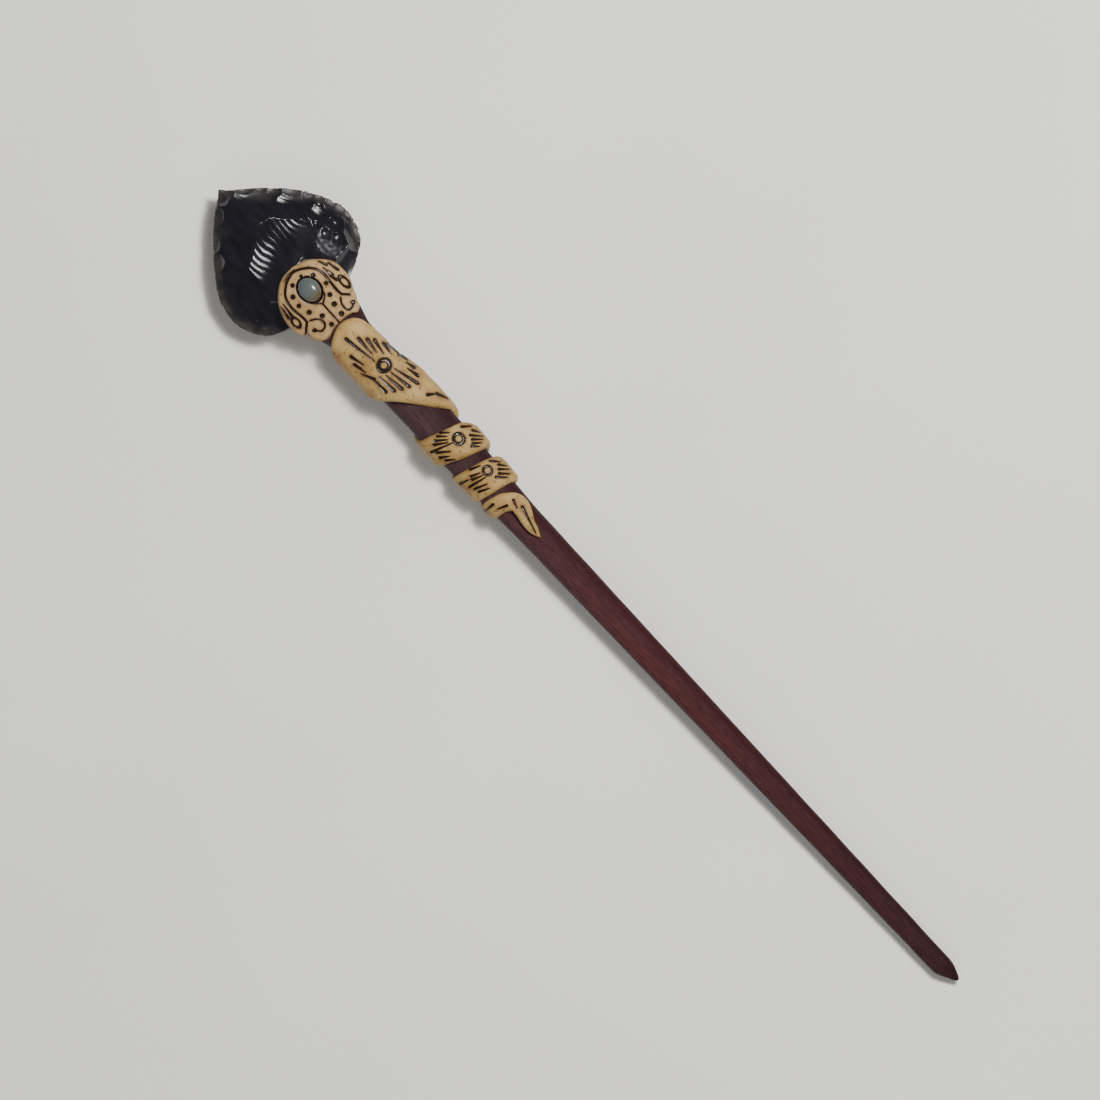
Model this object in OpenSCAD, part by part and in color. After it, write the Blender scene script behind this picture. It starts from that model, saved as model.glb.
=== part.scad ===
// Hair stick: a knapped stone point, held between a pressed clay medallion with
// a small domed stone and a plain clay backing, on a tapering wooden stick with
// a strip of clay wound round it. It lies on its back: the backing's flat face
// and the stick's tip touch z = 0.
// Lengths along the stick are counted from the stone's point, towards the tip.

/* [Stone point] */
// Length of the knapped stone, from its point to its base
stone_l = 29; // [22:0.5:40]
// Width across the knapped stone
stone_w = 29.5; // [22:0.5:40]
// Height of the stone's front face above its rim
stone_up = 4.5; // [3:0.1:7]
// Depth of the stone's back face below its rim
stone_down = 4; // [3:0.1:6]
// Thickness of the stone's sharp rim
rim_t = 0.3; // [0.2:0.05:0.8]

/* [Stick] */
// Length of the wooden stick
stick_l = 170; // [120:1:220]
// Width of the stick's flared end, inside the clay
flare_w = 10; // [9:0.1:13]
// Length of the flared end, before it runs out
flare_hold = 3.2; // [2:0.1:5]
// Length over which the flare runs out
flare_l = 3.5; // [2:0.5:8]
// Width of the stick under the wound clay
grip_w = 8; // [6:0.1:9]
// Thickness of the stick under the wound clay
grip_t = 7; // [5:0.1:8]
// Length from the flared end that keeps the grip's size
grip_l = 36; // [25:1:60]
// Length over which the grip thins to the bare stick
neck_l = 18; // [8:1:40]
// Width of the bare stick just past the neck
blade_w = 6.4; // [5:0.1:8]
// Thickness of the bare stick just past the neck
blade_t = 5.8; // [4.5:0.1:7]
// Width of the stick where its point begins
tip_w = 3.9; // [3:0.1:6]
// Thickness of the stick where its point begins
tip_t = 3.6; // [3:0.1:5.5]
// Length of the cut point
point_l = 4; // [2:0.5:10]
// How far the tip has bent to one side
sway = 0.55; // [0:0.05:2]

/* [Clay medallion] */
// Length of the medallion along the stick, lobes left out
medallion_l = 13.5; // [12:0.1:16]
// Width of the medallion
medallion_w = 14.5; // [12:0.1:17]
// Thickness of the clay over the stone's front
medallion_t = 1.9; // [1.4:0.1:3]
// How far the clay reaches along the stick, past the stone's base
collar_l = 4.25; // [3.6:0.05:6]
// How far the medallion's front falls from its middle to its sides
medallion_fall = 1.4; // [0.5:0.1:2]
// Depth of the pressed line round the front
line_depth = 0.35; // [0.1:0.05:0.6]

/* [Clay backing] */
// Length of the plain backing along the stick
backing_l = 14; // [11:0.5:16]
// Width of the plain backing
backing_w = 12.4; // [11:0.1:14]

/* [Cabochon] */
// Length of the domed stone, along the stick
cabochon_l = 4.9; // [3:0.1:6]
// Width of the domed stone
cabochon_w = 4; // [3:0.1:5]
// Height of the dome above the clay
cabochon_rise = 0.9; // [0.4:0.1:2]
// Depth of the seat in the clay
seat_depth = 0.8; // [0.5:0.1:1.2]

/* [Wound clay] */
// Length of the wound strip along the stick, from the leaf to the tail
wrap_l = 54; // [45:1:70]
// Thickness of the strip at the leaf
leaf_t = 1.65; // [1:0.05:2.5]
// Thickness of the strip behind the stick
back_t = 1.1; // [0.7:0.05:1.6]
// Radius that rounds the strip's edges
edge_r = 1.1; // [0.5:0.1:1.5]
// Share of the strip's width that each edge takes where it is wide, at the leaf
edge_share = 0.12; // [0.05:0.01:0.2]
// Share of its thickness that the leaf loses on its +Y side, where it is pressed on
press_share = 0.6; // [0:0.05:0.8]

/* [Fits] */
// Gap between the clay and what it holds
seat_gap = 0.15; // [0.12:0.01:0.2]
// Gap between the medallion and the leaf
leaf_gap = 0.15; // [0.1:0.05:0.5]
// Gap between the stone's base and the stick's end
web_t = 1; // [0.8:0.1:2]
// Height of the wound clay above what the stick lies on
lie_gap = 0.2; // [0.1:0.1:1]

/* [Hidden] */

// Columns: along (share of stone_l), upper and lower outline (shares of stone_w)
STONE_OUTLINE = [
    [0, 0.014, 0.004],
    [0.035, 0.044, -0.03],
    [0.07, 0.086, -0.086],
    [0.12, 0.149, -0.141],
    [0.17, 0.212, -0.195],
    [0.225, 0.266, -0.246],
    [0.275, 0.318, -0.292],
    [0.33, 0.363, -0.337],
    [0.38, 0.403, -0.373],
    [0.43, 0.428, -0.41],
    [0.48, 0.46, -0.44],
    [0.535, 0.482, -0.466],
    [0.6, 0.508, -0.48],
    [0.67, 0.512, -0.488],
    [0.74, 0.5, -0.48],
    [0.79, 0.483, -0.46],
    [0.845, 0.452, -0.432],
    [0.88, 0.415, -0.405],
    [0.915, 0.36, -0.365],
    [0.94, 0.318, -0.31],
    [0.965, 0.255, -0.24],
    [0.985, 0.17, -0.165],
    [1, 0.095, -0.09]
];

// Scars where flakes came off the front face. Columns: along (share of stone_l),
// across (share of stone_w), floor (share of stone_up), radius along the scar
// (share of stone_l), radius across it (share of stone_w), turn in degrees
FRONT_SCARS = [
    [0.528, 0.322, 0.483, 0.69, 2.37, 0],
    [0.5, -0.44, 0.184, 2, 0.34, -8],
    [0.19, -0.17, 0.276, 0.69, 0.41, -35],
    [0.724, 0.475, 0.46, 0.86, 1.02, 0],
    [0.793, 0.153, 0.644, 1.03, 0.475, 0],
    [0.36, 0.34, 0.16, 0.5, 0.2, 42],
    [0.53, 0.43, 0.24, 0.3, 0.2, 20],
    [0.17, 0.18, 0.1, 0.5, 0.16, 48],
    [0.19, 0.186, 0.23, 0.207, 0.34, 0],
    [0.96, 0.33, 0.1, 0.4, 0.102, 100],
    [0.9, -0.36, 0.2, 0.3, 0.2, 70]
];

// Scars on the back face, in the same columns, with stone_down for the floor
BACK_SCARS = [
    [0.36, 0.06, 0.62, 0.9, 0.5, 20],
    [0.6, 0.36, 0.3, 0.9, 0.3, 25],
    [0.6, -0.36, 0.3, 0.9, 0.3, -25],
    [0.2, -0.12, 0.22, 0.5, 0.2, -40],
    [0.22, 0.2, 0.22, 0.5, 0.2, 42],
    [0.93, 0.3, 0.2, 0.3, 0.2, 100],
    [0.93, -0.3, 0.2, 0.3, 0.2, 80]
];

// The wound strip, row by row from the leaf's lower edge to the tail's end.
// Columns: the edge nearer the stone (hundredths of wrap_l, degrees round the
// stick from its front towards +Y), the edge nearer the tip (the same two), and
// thickness (0 as behind the stick, 1 as at the leaf, thinner still below 0)
STRIP = [
    [12.4, -118, 15.5, -118, 0],
    [10, -104, 20, -106, 0.3],
    [6.8, -82, 24.6, -90, 0.6],
    [3.6, -57, 28.4, -66, 0.9],
    [1, -29, 32, -37, 1],
    [0, -3, 36.4, -10, 1],
    [0.5, 19, 40.6, 17, 1],
    [2, 36, 43.9, 40, 0.8],
    [5, 48, 46.3, 62, 0.6],
    [13.1, 57, 48, 85, 0.4],
    [21.8, 69, 50.2, 108, 0.25],
    [28.8, 100, 52, 135, 0.1],
    [34.4, 142, 53.8, 160, 0],
    [38.9, 175, 55, 186, 0],
    [42.6, 212, 56.3, 216, 0],
    [45.1, 246, 57.4, 246, -0.2],
    [47.2, 272, 58.7, 272, -0.3],
    [48.5, 313, 60.3, 318, 0.4],
    [49.7, 344, 62.2, 347, 0.7],
    [51.1, 376, 63.5, 379, 0.75],
    [52.7, 411, 64.6, 409, 0.75],
    [55.6, 440, 65.3, 440, 0.6],
    [58, 475, 66.4, 478, 0.3],
    [59.6, 510, 68.5, 512, 0],
    [61.4, 545, 71, 546, 0],
    [62.9, 580, 73.6, 580, 0],
    [64, 612, 75.7, 610, -0.5],
    [64.6, 632, 76.6, 632, -0.8],
    [65, 664, 77.1, 673, -0.1],
    [66, 704, 77.9, 704, 0.55],
    [67, 736, 78.7, 739, 0.6],
    [68.3, 768, 79.4, 768, 0.5],
    [69.9, 800, 80.5, 802, 0.2],
    [72, 835, 80.7, 835, 0],
    [73.8, 870, 81.2, 870, 0],
    [75.5, 905, 82.1, 905, 0],
    [77, 940, 83.3, 940, -0.3],
    [77.7, 970, 84.2, 970, -0.6],
    [78, 992, 84.7, 992, -0.7],
    [78.4, 1037, 85.3, 1041, 0.1],
    [78.9, 1058, 85.9, 1060, 0.6],
    [79.6, 1080, 87.1, 1074, 0.65],
    [81, 1098, 87.8, 1073, 0.6],
    [82.9, 1115, 88.8, 1072, 0.5],
    [85.5, 1125, 90.1, 1070, 0.4],
    [88.4, 1125, 91.8, 1067, 0.3],
    [91.2, 1117, 93.8, 1065, 0.2],
    [94.2, 1103, 95.8, 1065, 0.1],
    [97.1, 1095, 97.7, 1068, 0],
    [99.4, 1085, 99.4, 1075, -0.3],
    [100, 1081, 100, 1079, -0.5]
];

// Outline of the medallion round the small stone, with its petals and scroll
// lobes. Columns: along (share of medallion_l), across (share of medallion_w),
// place of the pressed line (share of the way to the edge), its share of depth
MEDALLION = [
    [-0.396, 0.024, 0.84, 1],
    [-0.34, 0.21, 0.76, 1],
    [-0.23, 0.35, 0.69, 1],
    [-0.09, 0.459, 0.62, 1],
    [0.06, 0.49, 0.58, 1],
    [0.237, 0.479, 0.6, 1],
    [0.378, 0.417, 0.66, 1],
    [0.42, 0.35, 0.82, 1],
    [0.504, 0.359, 0.75, 0],
    [0.6, 0.335, 0.7, 0],
    [0.659, 0.259, 0.7, 0],
    [0.62, 0.19, 0.7, 0],
    [0.6, 0.1, 0.7, 0],
    [0.6, 0, 0.7, 0],
    [0.6, -0.1, 0.7, 0],
    [0.625, -0.16, 0.7, 0],
    [0.652, -0.245, 0.7, 0],
    [0.6, -0.35, 0.7, 0],
    [0.504, -0.403, 0.75, 0],
    [0.41, -0.395, 0.82, 1],
    [0.4, -0.452, 0.68, 1],
    [0.304, -0.5, 0.62, 1],
    [0.15, -0.507, 0.64, 1],
    [-0.015, -0.476, 0.66, 1],
    [-0.163, -0.41, 0.71, 1],
    [-0.3, -0.29, 0.77, 1],
    [-0.378, -0.15, 0.82, 1],
    [-0.396, 0.024, 0.84, 1]
];

// How finely the tables' curves are stepped
stone_steps = 2;
stone_columns = 17;
stick_sides = 24;
stick_square = 2.5;
strip_steps = 2;
strip_columns = 9;
// How far round a place the clay's inner face keeps clear
reach = 0.75;
backing_sides = 40;
cabochon_sides = 24;

// The stone's blank: how square its crown is across, and how round its sides are
crown_square = 2.4;
crown_round = 0.55;
// Shares of stone_l over which the blank thins towards its point and its base
point_run = 0.5;
base_run = 0.1;
// The least share of the blank that the scars leave
least_left = 0.2;

// Where the medallion's straight end is, in its table
straight_end = 0.6;
// Clay over the stick at that end, and how fast the front falls towards the point
end_cover = 1.5;
point_fall = 4;
// Share of medallion_l over which the front falls towards the tip
end_run = 0.55;

// The leaf's pressed side: degrees from the front where pressing begins and is
// full, and the shares of wrap_l where it begins to fade and is gone
press_angles = [35, 65];
press_fade = [0.2, 0.3];

stick_x = stone_l + web_t;
tip_x = stick_x + stick_l;
point_x = tip_x - point_l;
wrap_x = stone_l + collar_l + leaf_gap;
stone_side = stone_w * (max([for (r = STONE_OUTLINE) r[1]]) + min([for (r = STONE_OUTLINE) r[2]])) / 2;

// The stick slopes from its wound part, which clears what it lies on, to its tip
grip_end_x = stick_x + grip_l;
blade_x = grip_end_x + neck_l;
slope = (grip_t / 2 + back_t + seat_gap + lie_gap - tip_t / 2) / (point_x - grip_end_x);
cabochon_x = stone_l + collar_l - straight_end * medallion_l;
rim_z = axis_z(cabochon_x);
front_z = rim_z + stone_up + medallion_t;
seat_z = front_z - seat_depth;
backing_x = stone_l + collar_l - backing_l / 2;
medallion_rows = [for (i = [0 : 2 * (len(MEDALLION) - 1) - 1]) curve_at(MEDALLION, i / 2)];

function axis_z(x) = tip_t / 2 + slope * (point_x - x);
function axis_y(x) = sway * max(0, x - grip_end_x) / (tip_x - grip_end_x);
function blend(a, b, t) = a + (b - a) * min(1, max(0, t));
function share_of(range, v) = min(1, max(0, (v - range[0]) / (range[1] - range[0])));

// A smooth curve through a table's rows, at place t from 0 to the last row
function curve_at(table, t) =
    let (
        last = len(table) - 1,
        i = min(last - 1, floor(t)),
        f = t - i,
        before = table[max(0, i - 1)],
        from = table[i],
        to = table[i + 1],
        after = table[min(last, i + 2)]
    )
    from + 0.5 * f * (to - before + f * (2 * before - 5 * from + 4 * to - after
        + f * (3 * (from - to) + after - before)));

function middle(ring) = [for (p = ring) 1 / len(ring)] * ring;

function smooth_rows(table, steps) =
    [for (i = [0 : (len(table) - 1) * steps]) curve_at(table, i / steps)];

// Half width and half thickness of the stick at x
function stick_half_w(x) =
    x < grip_end_x
        ? blend(flare_w, grip_w, (x - stick_x - flare_hold) / flare_l) / 2
        : x < blade_x
            ? blend(grip_w, blade_w, (x - grip_end_x) / (blade_x - grip_end_x)) / 2
            : blend(blade_w, tip_w, (x - blade_x) / (point_x - blade_x)) / 2;
function stick_half_t(x) =
    x < blade_x
        ? blend(grip_t, blade_t, (x - grip_end_x) / (blade_x - grip_end_x)) / 2
        : blend(blade_t, tip_t, (x - blade_x) / (point_x - blade_x)) / 2;

// A point of the stick's skin at x, at an angle from its front towards +Y, and
// a height above the skin
function on_stick(x, angle, height) =
    let (
        across = abs(sin(angle)) / stick_half_w(x),
        up = abs(cos(angle)) / stick_half_t(x),
        r = pow(pow(across, stick_square) + pow(up, stick_square), -1 / stick_square)
    )
    [x, axis_y(x) + (r + height) * sin(angle), axis_z(x) + (r + height) * cos(angle)];

// Skins a row of rings, which have as many points each, and closes both ends
// with a fan about the ring's middle
module loft(rings) {
    n = len(rings);
    m = len(rings[0]);
    around = [for (j = [0 : m - 1]) (j + 1) % m];
    skin_faces = [
        for (i = [0 : n - 2], j = [0 : m - 1])
            let (k = around[j], a = i * m, b = (i + 1) * m)
            each [[a + j, a + k, b + k], [a + j, b + k, b + j]]
    ];
    start_fan = [for (j = [0 : m - 1]) [n * m, around[j], j]];
    end_fan = [for (j = [0 : m - 1]) [n * m + 1, (n - 1) * m + j, (n - 1) * m + around[j]]];
    polyhedron(
        points = concat([for (r = rings) each r], [middle(rings[0]), middle(rings[n - 1])]),
        faces = concat(start_fan, skin_faces, end_fan)
    );
}

// Moves a piece so that the whole stands centred over the origin
module placed() {
    translate([-tip_x / 2, -stone_side, 0])
        children();
}

// Height of a scar's hollow over the stone's rim
function hollow(scar, x, y, full) =
    let (
        dx = x - scar[0] * stone_l,
        dy = y - scar[1] * stone_w,
        along = dx * cos(scar[5]) + dy * sin(scar[5]),
        across = dy * cos(scar[5]) - dx * sin(scar[5])
    )
    scar[2] * full + along * along / (2 * scar[3] * stone_l) + across * across / (2 * scar[4] * stone_w);

// Height of the stone's skin over its rim: a crowned blank, cut down by scars.
// u is the place along the stone, and v across it, from -1 to 1
function skin(u, v, x, y, full, scars) =
    let (
        crown = pow(max(0, 1 - pow(abs(v), crown_square)), crown_round),
        taper = min(1, pow(u / point_run, crown_round)) * pow(min(1, (1 - u) / base_run), 0.4),
        blank = full * crown * taper
    )
    max(least_left * blank, min(blank, min([for (s = scars) hollow(s, x, y, full)])));

function stone_ring(row) =
    let (
        u = max(0, row[0]),
        x = u * stone_l,
        upper = row[1] * stone_w,
        lower = row[2] * stone_w,
        columns = [for (j = [0 : stone_columns - 1]) sin(90 * (2 * j / (stone_columns - 1) - 1))],
        spots = [for (v = columns) [v, (upper + lower) / 2 + v * (upper - lower) / 2]]
    )
    concat(
        [for (s = spots) [x, s[1],
            rim_z + rim_t / 2 + skin(u, s[0], x, s[1], stone_up - rim_t / 2, FRONT_SCARS)]],
        [for (j = [stone_columns - 1 : -1 : 0]) let (s = spots[j]) [x, s[1],
            rim_z - rim_t / 2 - skin(u, s[0], x, s[1], stone_down - rim_t / 2, BACK_SCARS)]]
    );

module stone_body() {
    loft([for (row = smooth_rows(STONE_OUTLINE, stone_steps)) stone_ring(row)]);
}

module stick_body() {
    flare_x = stick_x + flare_hold;
    places = concat(
        [stick_x, flare_x, flare_x + flare_l / 2, flare_x + flare_l],
        [for (i = [1 : 3]) blend(flare_x + flare_l, grip_end_x, i / 3)],
        [for (i = [1 : 3]) blend(grip_end_x, blade_x, i / 3)],
        [for (i = [1 : 8]) blend(blade_x, point_x, i / 8)]
    );
    // The cut point. Columns: share of point_l, share of the section, share of tip_w to the side
    cuts = [[0.25, 0.86, 0.04], [0.6, 0.55, 0.08], [0.88, 0.26, 0.1], [1, 0.08, 0.1]];
    rounds = [for (j = [0 : stick_sides - 1]) 360 * (j + 0.5) / stick_sides];
    loft(concat(
        [for (x = places) [for (a = rounds) on_stick(x, a, 0)]],
        [for (c = cuts) [for (a = rounds)
            let (p = on_stick(point_x, a, 0), y = axis_y(point_x), z = axis_z(point_x))
            [point_x + c[0] * point_l, y + c[1] * (p[1] - y) + c[2] * tip_w, z + c[1] * (p[2] - z)]]]
    ));
}

function oval(centre, half_x, half_y, z, sides) =
    [for (j = [0 : sides - 1])
        [centre[0] + half_x * cos(360 * j / sides), centre[1] - half_y * sin(360 * j / sides), z]];

// Height over the rim of the stone's front (side 1) or back (side -1), and of
// the stick's, at a place. It is 0 outside both. The stick's pocket starts at the
// stone's base
function stone_height(x, y, side) =
    let (
        u = x / stone_l,
        upper = stone_w * lookup(u, [for (r = STONE_OUTLINE) [r[0], r[1]]]),
        lower = stone_w * lookup(u, [for (r = STONE_OUTLINE) [r[0], r[2]]]),
        v = (2 * y - upper - lower) / (upper - lower)
    )
    u > 1 || abs(v) > 1
        ? 0
        : side > 0
            ? rim_t / 2 + skin(u, v, x, y, stone_up - rim_t / 2, FRONT_SCARS)
            : rim_t / 2 + skin(u, v, x, y, stone_down - rim_t / 2, BACK_SCARS);
function stick_height(x, y, side) =
    let (share = abs(y - axis_y(x)) / stick_half_w(x))
    x < stone_l || share > 1
        ? 0
        : stick_half_t(x) * pow(1 - pow(share, stick_square), 1 / stick_square)
            + side * (axis_z(x) - rim_z);

// Where the clay's inner face runs at a place, clear of what it holds all round it
function inner_z(x, y, side) =
    let (near = [for (dx = [-1, 0, 1], dy = [-1, 0, 1])
        max(stone_height(x + dx * reach, y + dy * reach, side), stick_height(x + dx * reach, y + dy * reach, side))])
    rim_z + side * (seat_gap + max(near));

// The medallion's smooth front, before its edge is rounded and its line pressed
function front_skin(x, y) =
    let (
        along = (x - cabochon_x) / medallion_l,
        across = 2 * y / medallion_w,
        end_fall = front_z - (axis_z(x) + grip_t / 2 + end_cover)
    )
    front_z - medallion_fall * across * across
        - (along < 0 ? point_fall * along * along : end_fall * pow(sin(90 * blend(0, 1, along / end_run)), 2));

// A place on the medallion, at a share of the way from its middle to its edge
function medallion_spot(row, share) = [cabochon_x + share * row[0] * medallion_l, share * row[1] * medallion_w];
function medallion_ring(share) = [for (r = medallion_rows) medallion_spot(r, share)];

// The seat's wall, in shares of the way to the edge along each row
function seat_share(row, grow) =
    1 / norm([row[0] * medallion_l / (cabochon_l / 2 + grow), row[1] * medallion_w / (cabochon_w / 2 + grow)]);

module medallion_body() {
    under = [for (t = [0.04, 0.25, 0.45, 0.6, 0.72, 0.82, 0.91, 1])
        [for (p = medallion_ring(t))
            [p[0], p[1], inner_z(p[0], p[1], 1)]]];
    // The edge. Columns: share of the way out, drop below the smooth front
    edge = [for (e = [[1, 0.75], [0.975, 0.35], [0.94, 0.1], [0.9, 0]])
        [for (p = medallion_ring(e[0]))
            [p[0], p[1], max(front_skin(p[0], p[1]) - e[1], inner_z(p[0], p[1], 1) + 0.4)]]];
    // The pressed line. Columns: share beyond its middle, share of its depth
    line = [for (e = [[0.045, 0], [0, 1], [-0.045, 0]])
        [for (r = medallion_rows)
            let (p = medallion_spot(r, r[2] + e[0]))
            [p[0], p[1], front_skin(p[0], p[1]) - e[1] * line_depth * min(1, max(0, r[3]))]]];
    brow = [for (r = medallion_rows)
        let (p = medallion_spot(r, seat_share(r, 3 * seat_gap)))
        [p[0], p[1], front_skin(p[0], p[1])]];
    wall = [for (drop = [0.1, seat_depth])
        [for (r = medallion_rows)
            let (p = medallion_spot(r, seat_share(r, seat_gap)))
            [p[0], p[1], front_z - drop]]];
    seat_floor = [for (p = medallion_ring(0.04)) [p[0], p[1], seat_z]];
    loft(concat(under, edge, line, [brow], wall, [seat_floor]));
}

module backing_body() {
    spots = function (share)
        [for (j = [0 : backing_sides - 1])
            let (
                a = 360 * j / backing_sides,
                r = share * pow(pow(abs(cos(a)), 4) + pow(abs(sin(a)), 4), -0.25)
            )
            [backing_x + r * cos(a) * backing_l / 2, -r * sin(a) * backing_w / 2]];
    // The underside. Columns: share of the way out, height over the resting face
    under = [for (e = [[0.05, 0], [0.8, 0], [0.9, 0.12], [0.96, 0.4], [1, 1]])
        [for (p = spots(e[0])) [p[0], p[1], e[1]]]];
    upper = [for (t = [1, 0.93, 0.85, 0.75, 0.6, 0.42, 0.22, 0.05])
        [for (p = spots(t)) [p[0], p[1], max(inner_z(p[0], p[1], -1), 1.2)]]];
    loft(concat(under, upper));
}

module clay_medallion() {
    placed()
        color("burlywood")
        medallion_body();
}

module clay_backing() {
    placed()
        color("burlywood")
        backing_body();
}

module stone_point() {
    placed()
        color([0.09, 0.09, 0.12])
        stone_body();
}

module wooden_stick() {
    placed()
        color([0.28, 0.13, 0.14])
        stick_body();
}

module cabochon() {
    // Columns: share of the half width, share of the height
    levels = [[0.96, 0], [1, 0.3], [0.97, 0.5], [0.85, 0.72], [0.62, 0.89], [0.32, 0.975], [0.06, 1]];
    height = seat_depth + cabochon_rise - seat_gap;
    placed()
        color([0.62, 0.68, 0.66])
        loft([for (l = levels) oval([cabochon_x, 0], cabochon_l / 2 * l[0], cabochon_w / 2 * l[0],
            seat_z + seat_gap + height * l[1], cabochon_sides)]);
}

// How much of its thickness the strip keeps at a place: the leaf's +Y side is
// pressed thin near the stone
function kept(x, angle) =
    1 - press_share * share_of(press_angles, angle) * (1 - share_of(press_fade, (x - wrap_x) / wrap_l));

// One ring of the strip, straight across it from edge to edge
function strip_ring(row) =
    let (
        near = wrap_x + row[0] * wrap_l / 100,
        far = wrap_x + row[2] * wrap_l / 100,
        thick = back_t + (leaf_t - back_t) * row[4],
        width = norm([far - near, (row[3] - row[1]) * PI / 180 * grip_w / 2]),
        edge = max(edge_r, edge_share * width),
        shares = [for (j = [0 : strip_columns - 1]) (1 + cos(180 * j / (strip_columns - 1))) / 2]
    )
    concat(
        [for (s = shares) let (
            x = near + s * (far - near),
            angle = row[1] + s * (row[3] - row[1]),
            inward = min(1, min(s, 1 - s) * width / edge),
            height = thick * kept(x, angle) * (0.3 + 0.7 * sqrt(1 - pow(1 - inward, 2)))
        ) on_stick(x, angle, seat_gap + height)],
        [for (j = [strip_columns - 1 : -1 : 0]) let (s = shares[j])
            on_stick(near + s * (far - near), row[1] + s * (row[3] - row[1]), seat_gap)]
    );

module clay_wrap() {
    placed()
        color("wheat")
        loft([for (row = smooth_rows(STRIP, strip_steps)) strip_ring(row)]);
}

stone_point();
wooden_stick();
clay_medallion();
clay_backing();
cabochon();
clay_wrap();
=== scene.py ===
# Looks of the hair stick: knapped stone, wooden stick, pressed clay medallion and
# backing, domed stone and wound clay strip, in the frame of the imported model.
import random
from math import cos, pi, radians, sin, tau

import bmesh
import bpy
import numpy as np
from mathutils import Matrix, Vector


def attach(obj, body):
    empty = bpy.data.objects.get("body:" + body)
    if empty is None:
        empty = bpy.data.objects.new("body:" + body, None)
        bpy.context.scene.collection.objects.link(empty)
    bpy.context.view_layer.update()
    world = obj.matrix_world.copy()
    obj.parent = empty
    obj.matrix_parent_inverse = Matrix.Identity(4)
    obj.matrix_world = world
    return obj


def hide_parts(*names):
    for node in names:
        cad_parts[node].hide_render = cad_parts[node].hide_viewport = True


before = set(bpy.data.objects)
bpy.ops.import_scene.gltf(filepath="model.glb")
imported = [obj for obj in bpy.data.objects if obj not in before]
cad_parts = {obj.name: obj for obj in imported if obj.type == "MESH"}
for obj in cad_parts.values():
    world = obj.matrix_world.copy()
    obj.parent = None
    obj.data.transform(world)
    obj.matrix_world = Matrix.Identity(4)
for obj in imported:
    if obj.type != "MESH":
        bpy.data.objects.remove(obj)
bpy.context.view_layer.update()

# Shapes are worked out in millimetres: x from the stone's point towards the tip,
# y across, z up from the surface that the stick lies on
MM = 0.001
JOIN_DISTANCE = 2e-6  # in metres
MIDDLE_X = 100
MIDDLE_Y = 0.354

# The stick's named sizes, as in the CAD
STICK_X = 30
TIP_X = 200
POINT_X = 196
GRIP_END_X = 66
BLADE_X = 84
FLARE_W = 10
FLARE_HOLD = 3.2
FLARE_L = 3.5
GRIP_W = 8
GRIP_T = 7
BLADE_W = 6.4
BLADE_T = 5.8
TIP_W = 3.9
TIP_T = 3.6
SWAY = 0.55
SLOPE = 0.02423
SQUARE = 2.5

# The knapped stone
STONE_L = 29
STONE_W = 29.5
STONE_UP = 4.35
STONE_DOWN = 3.85
RIM_Z = 5.94
CROWN_SQUARE = 2.4
CROWN_ROUND = 0.55
POINT_RUN = 0.5
BASE_RUN = 0.1
BASE_ROUND = 0.4
LEAST_LEFT = 0.2

# The medallion, its small domed stone and its backing
DOME_X = 25.15
DOME_L = 4.9
DOME_W = 4
DOME_TOP = 13.24
FRONT_Z = 12.34
MEDALLION_L = 13.5
MEDALLION_W = 14.5
MEDALLION_FALL = 1.4
MEDALLION_EDGE_R = 0.85
SEAT_DEPTH = 0.8
SEAT_ROOM = 0.2
BACKING_X = 26.25
BACKING_L = 14
BACKING_W = 12.4
BACKING_SQUARE = 4
BACKING_EDGE_Z = 1.6

# The wound strip
WRAP_X = 33.4
WRAP_L = 54
LEAF_T = 1.65
BACK_T = 1.1
EDGE_R = 1.1
EDGE_SHARE = 0.12
PRESS_SHARE = 0.6
PRESS_ANGLES = (35, 65)
PRESS_FADE = (0.2, 0.3)
EDGE_LIFT = 0.14

# How the finer surface differs from the CAD: height of the clay's soft waves, and the
# spacing of the strip's rows where they are seen and where they are underneath
CLAY_WAVES = 0.05
ROW_STEP = 0.15
HIDDEN_STEP = 0.4

# Depths of the pressed marks, and how far dark colour bleeds round them
STROKE_DEPTH = 0.3
STROKE_RISE = 0.12
DOT_DEPTH = 0.42
RING_DEPTH = 0.32
STAIN_REACH = 0.35

# Columns: along (share of STONE_L), upper and lower outline (shares of STONE_W)
STONE_OUTLINE = [
    (0, 0.014, 0.004), (0.035, 0.044, -0.03), (0.07, 0.086, -0.086),
    (0.12, 0.149, -0.141), (0.17, 0.212, -0.195), (0.225, 0.266, -0.246),
    (0.275, 0.318, -0.292), (0.33, 0.363, -0.337), (0.38, 0.403, -0.373),
    (0.43, 0.428, -0.41), (0.48, 0.46, -0.44), (0.535, 0.482, -0.466),
    (0.6, 0.508, -0.48), (0.67, 0.512, -0.488), (0.74, 0.5, -0.48),
    (0.79, 0.483, -0.46), (0.845, 0.452, -0.432), (0.88, 0.415, -0.405),
    (0.915, 0.36, -0.365), (0.94, 0.318, -0.31), (0.965, 0.255, -0.24),
    (0.985, 0.17, -0.165), (1, 0.095, -0.09),
]

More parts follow.
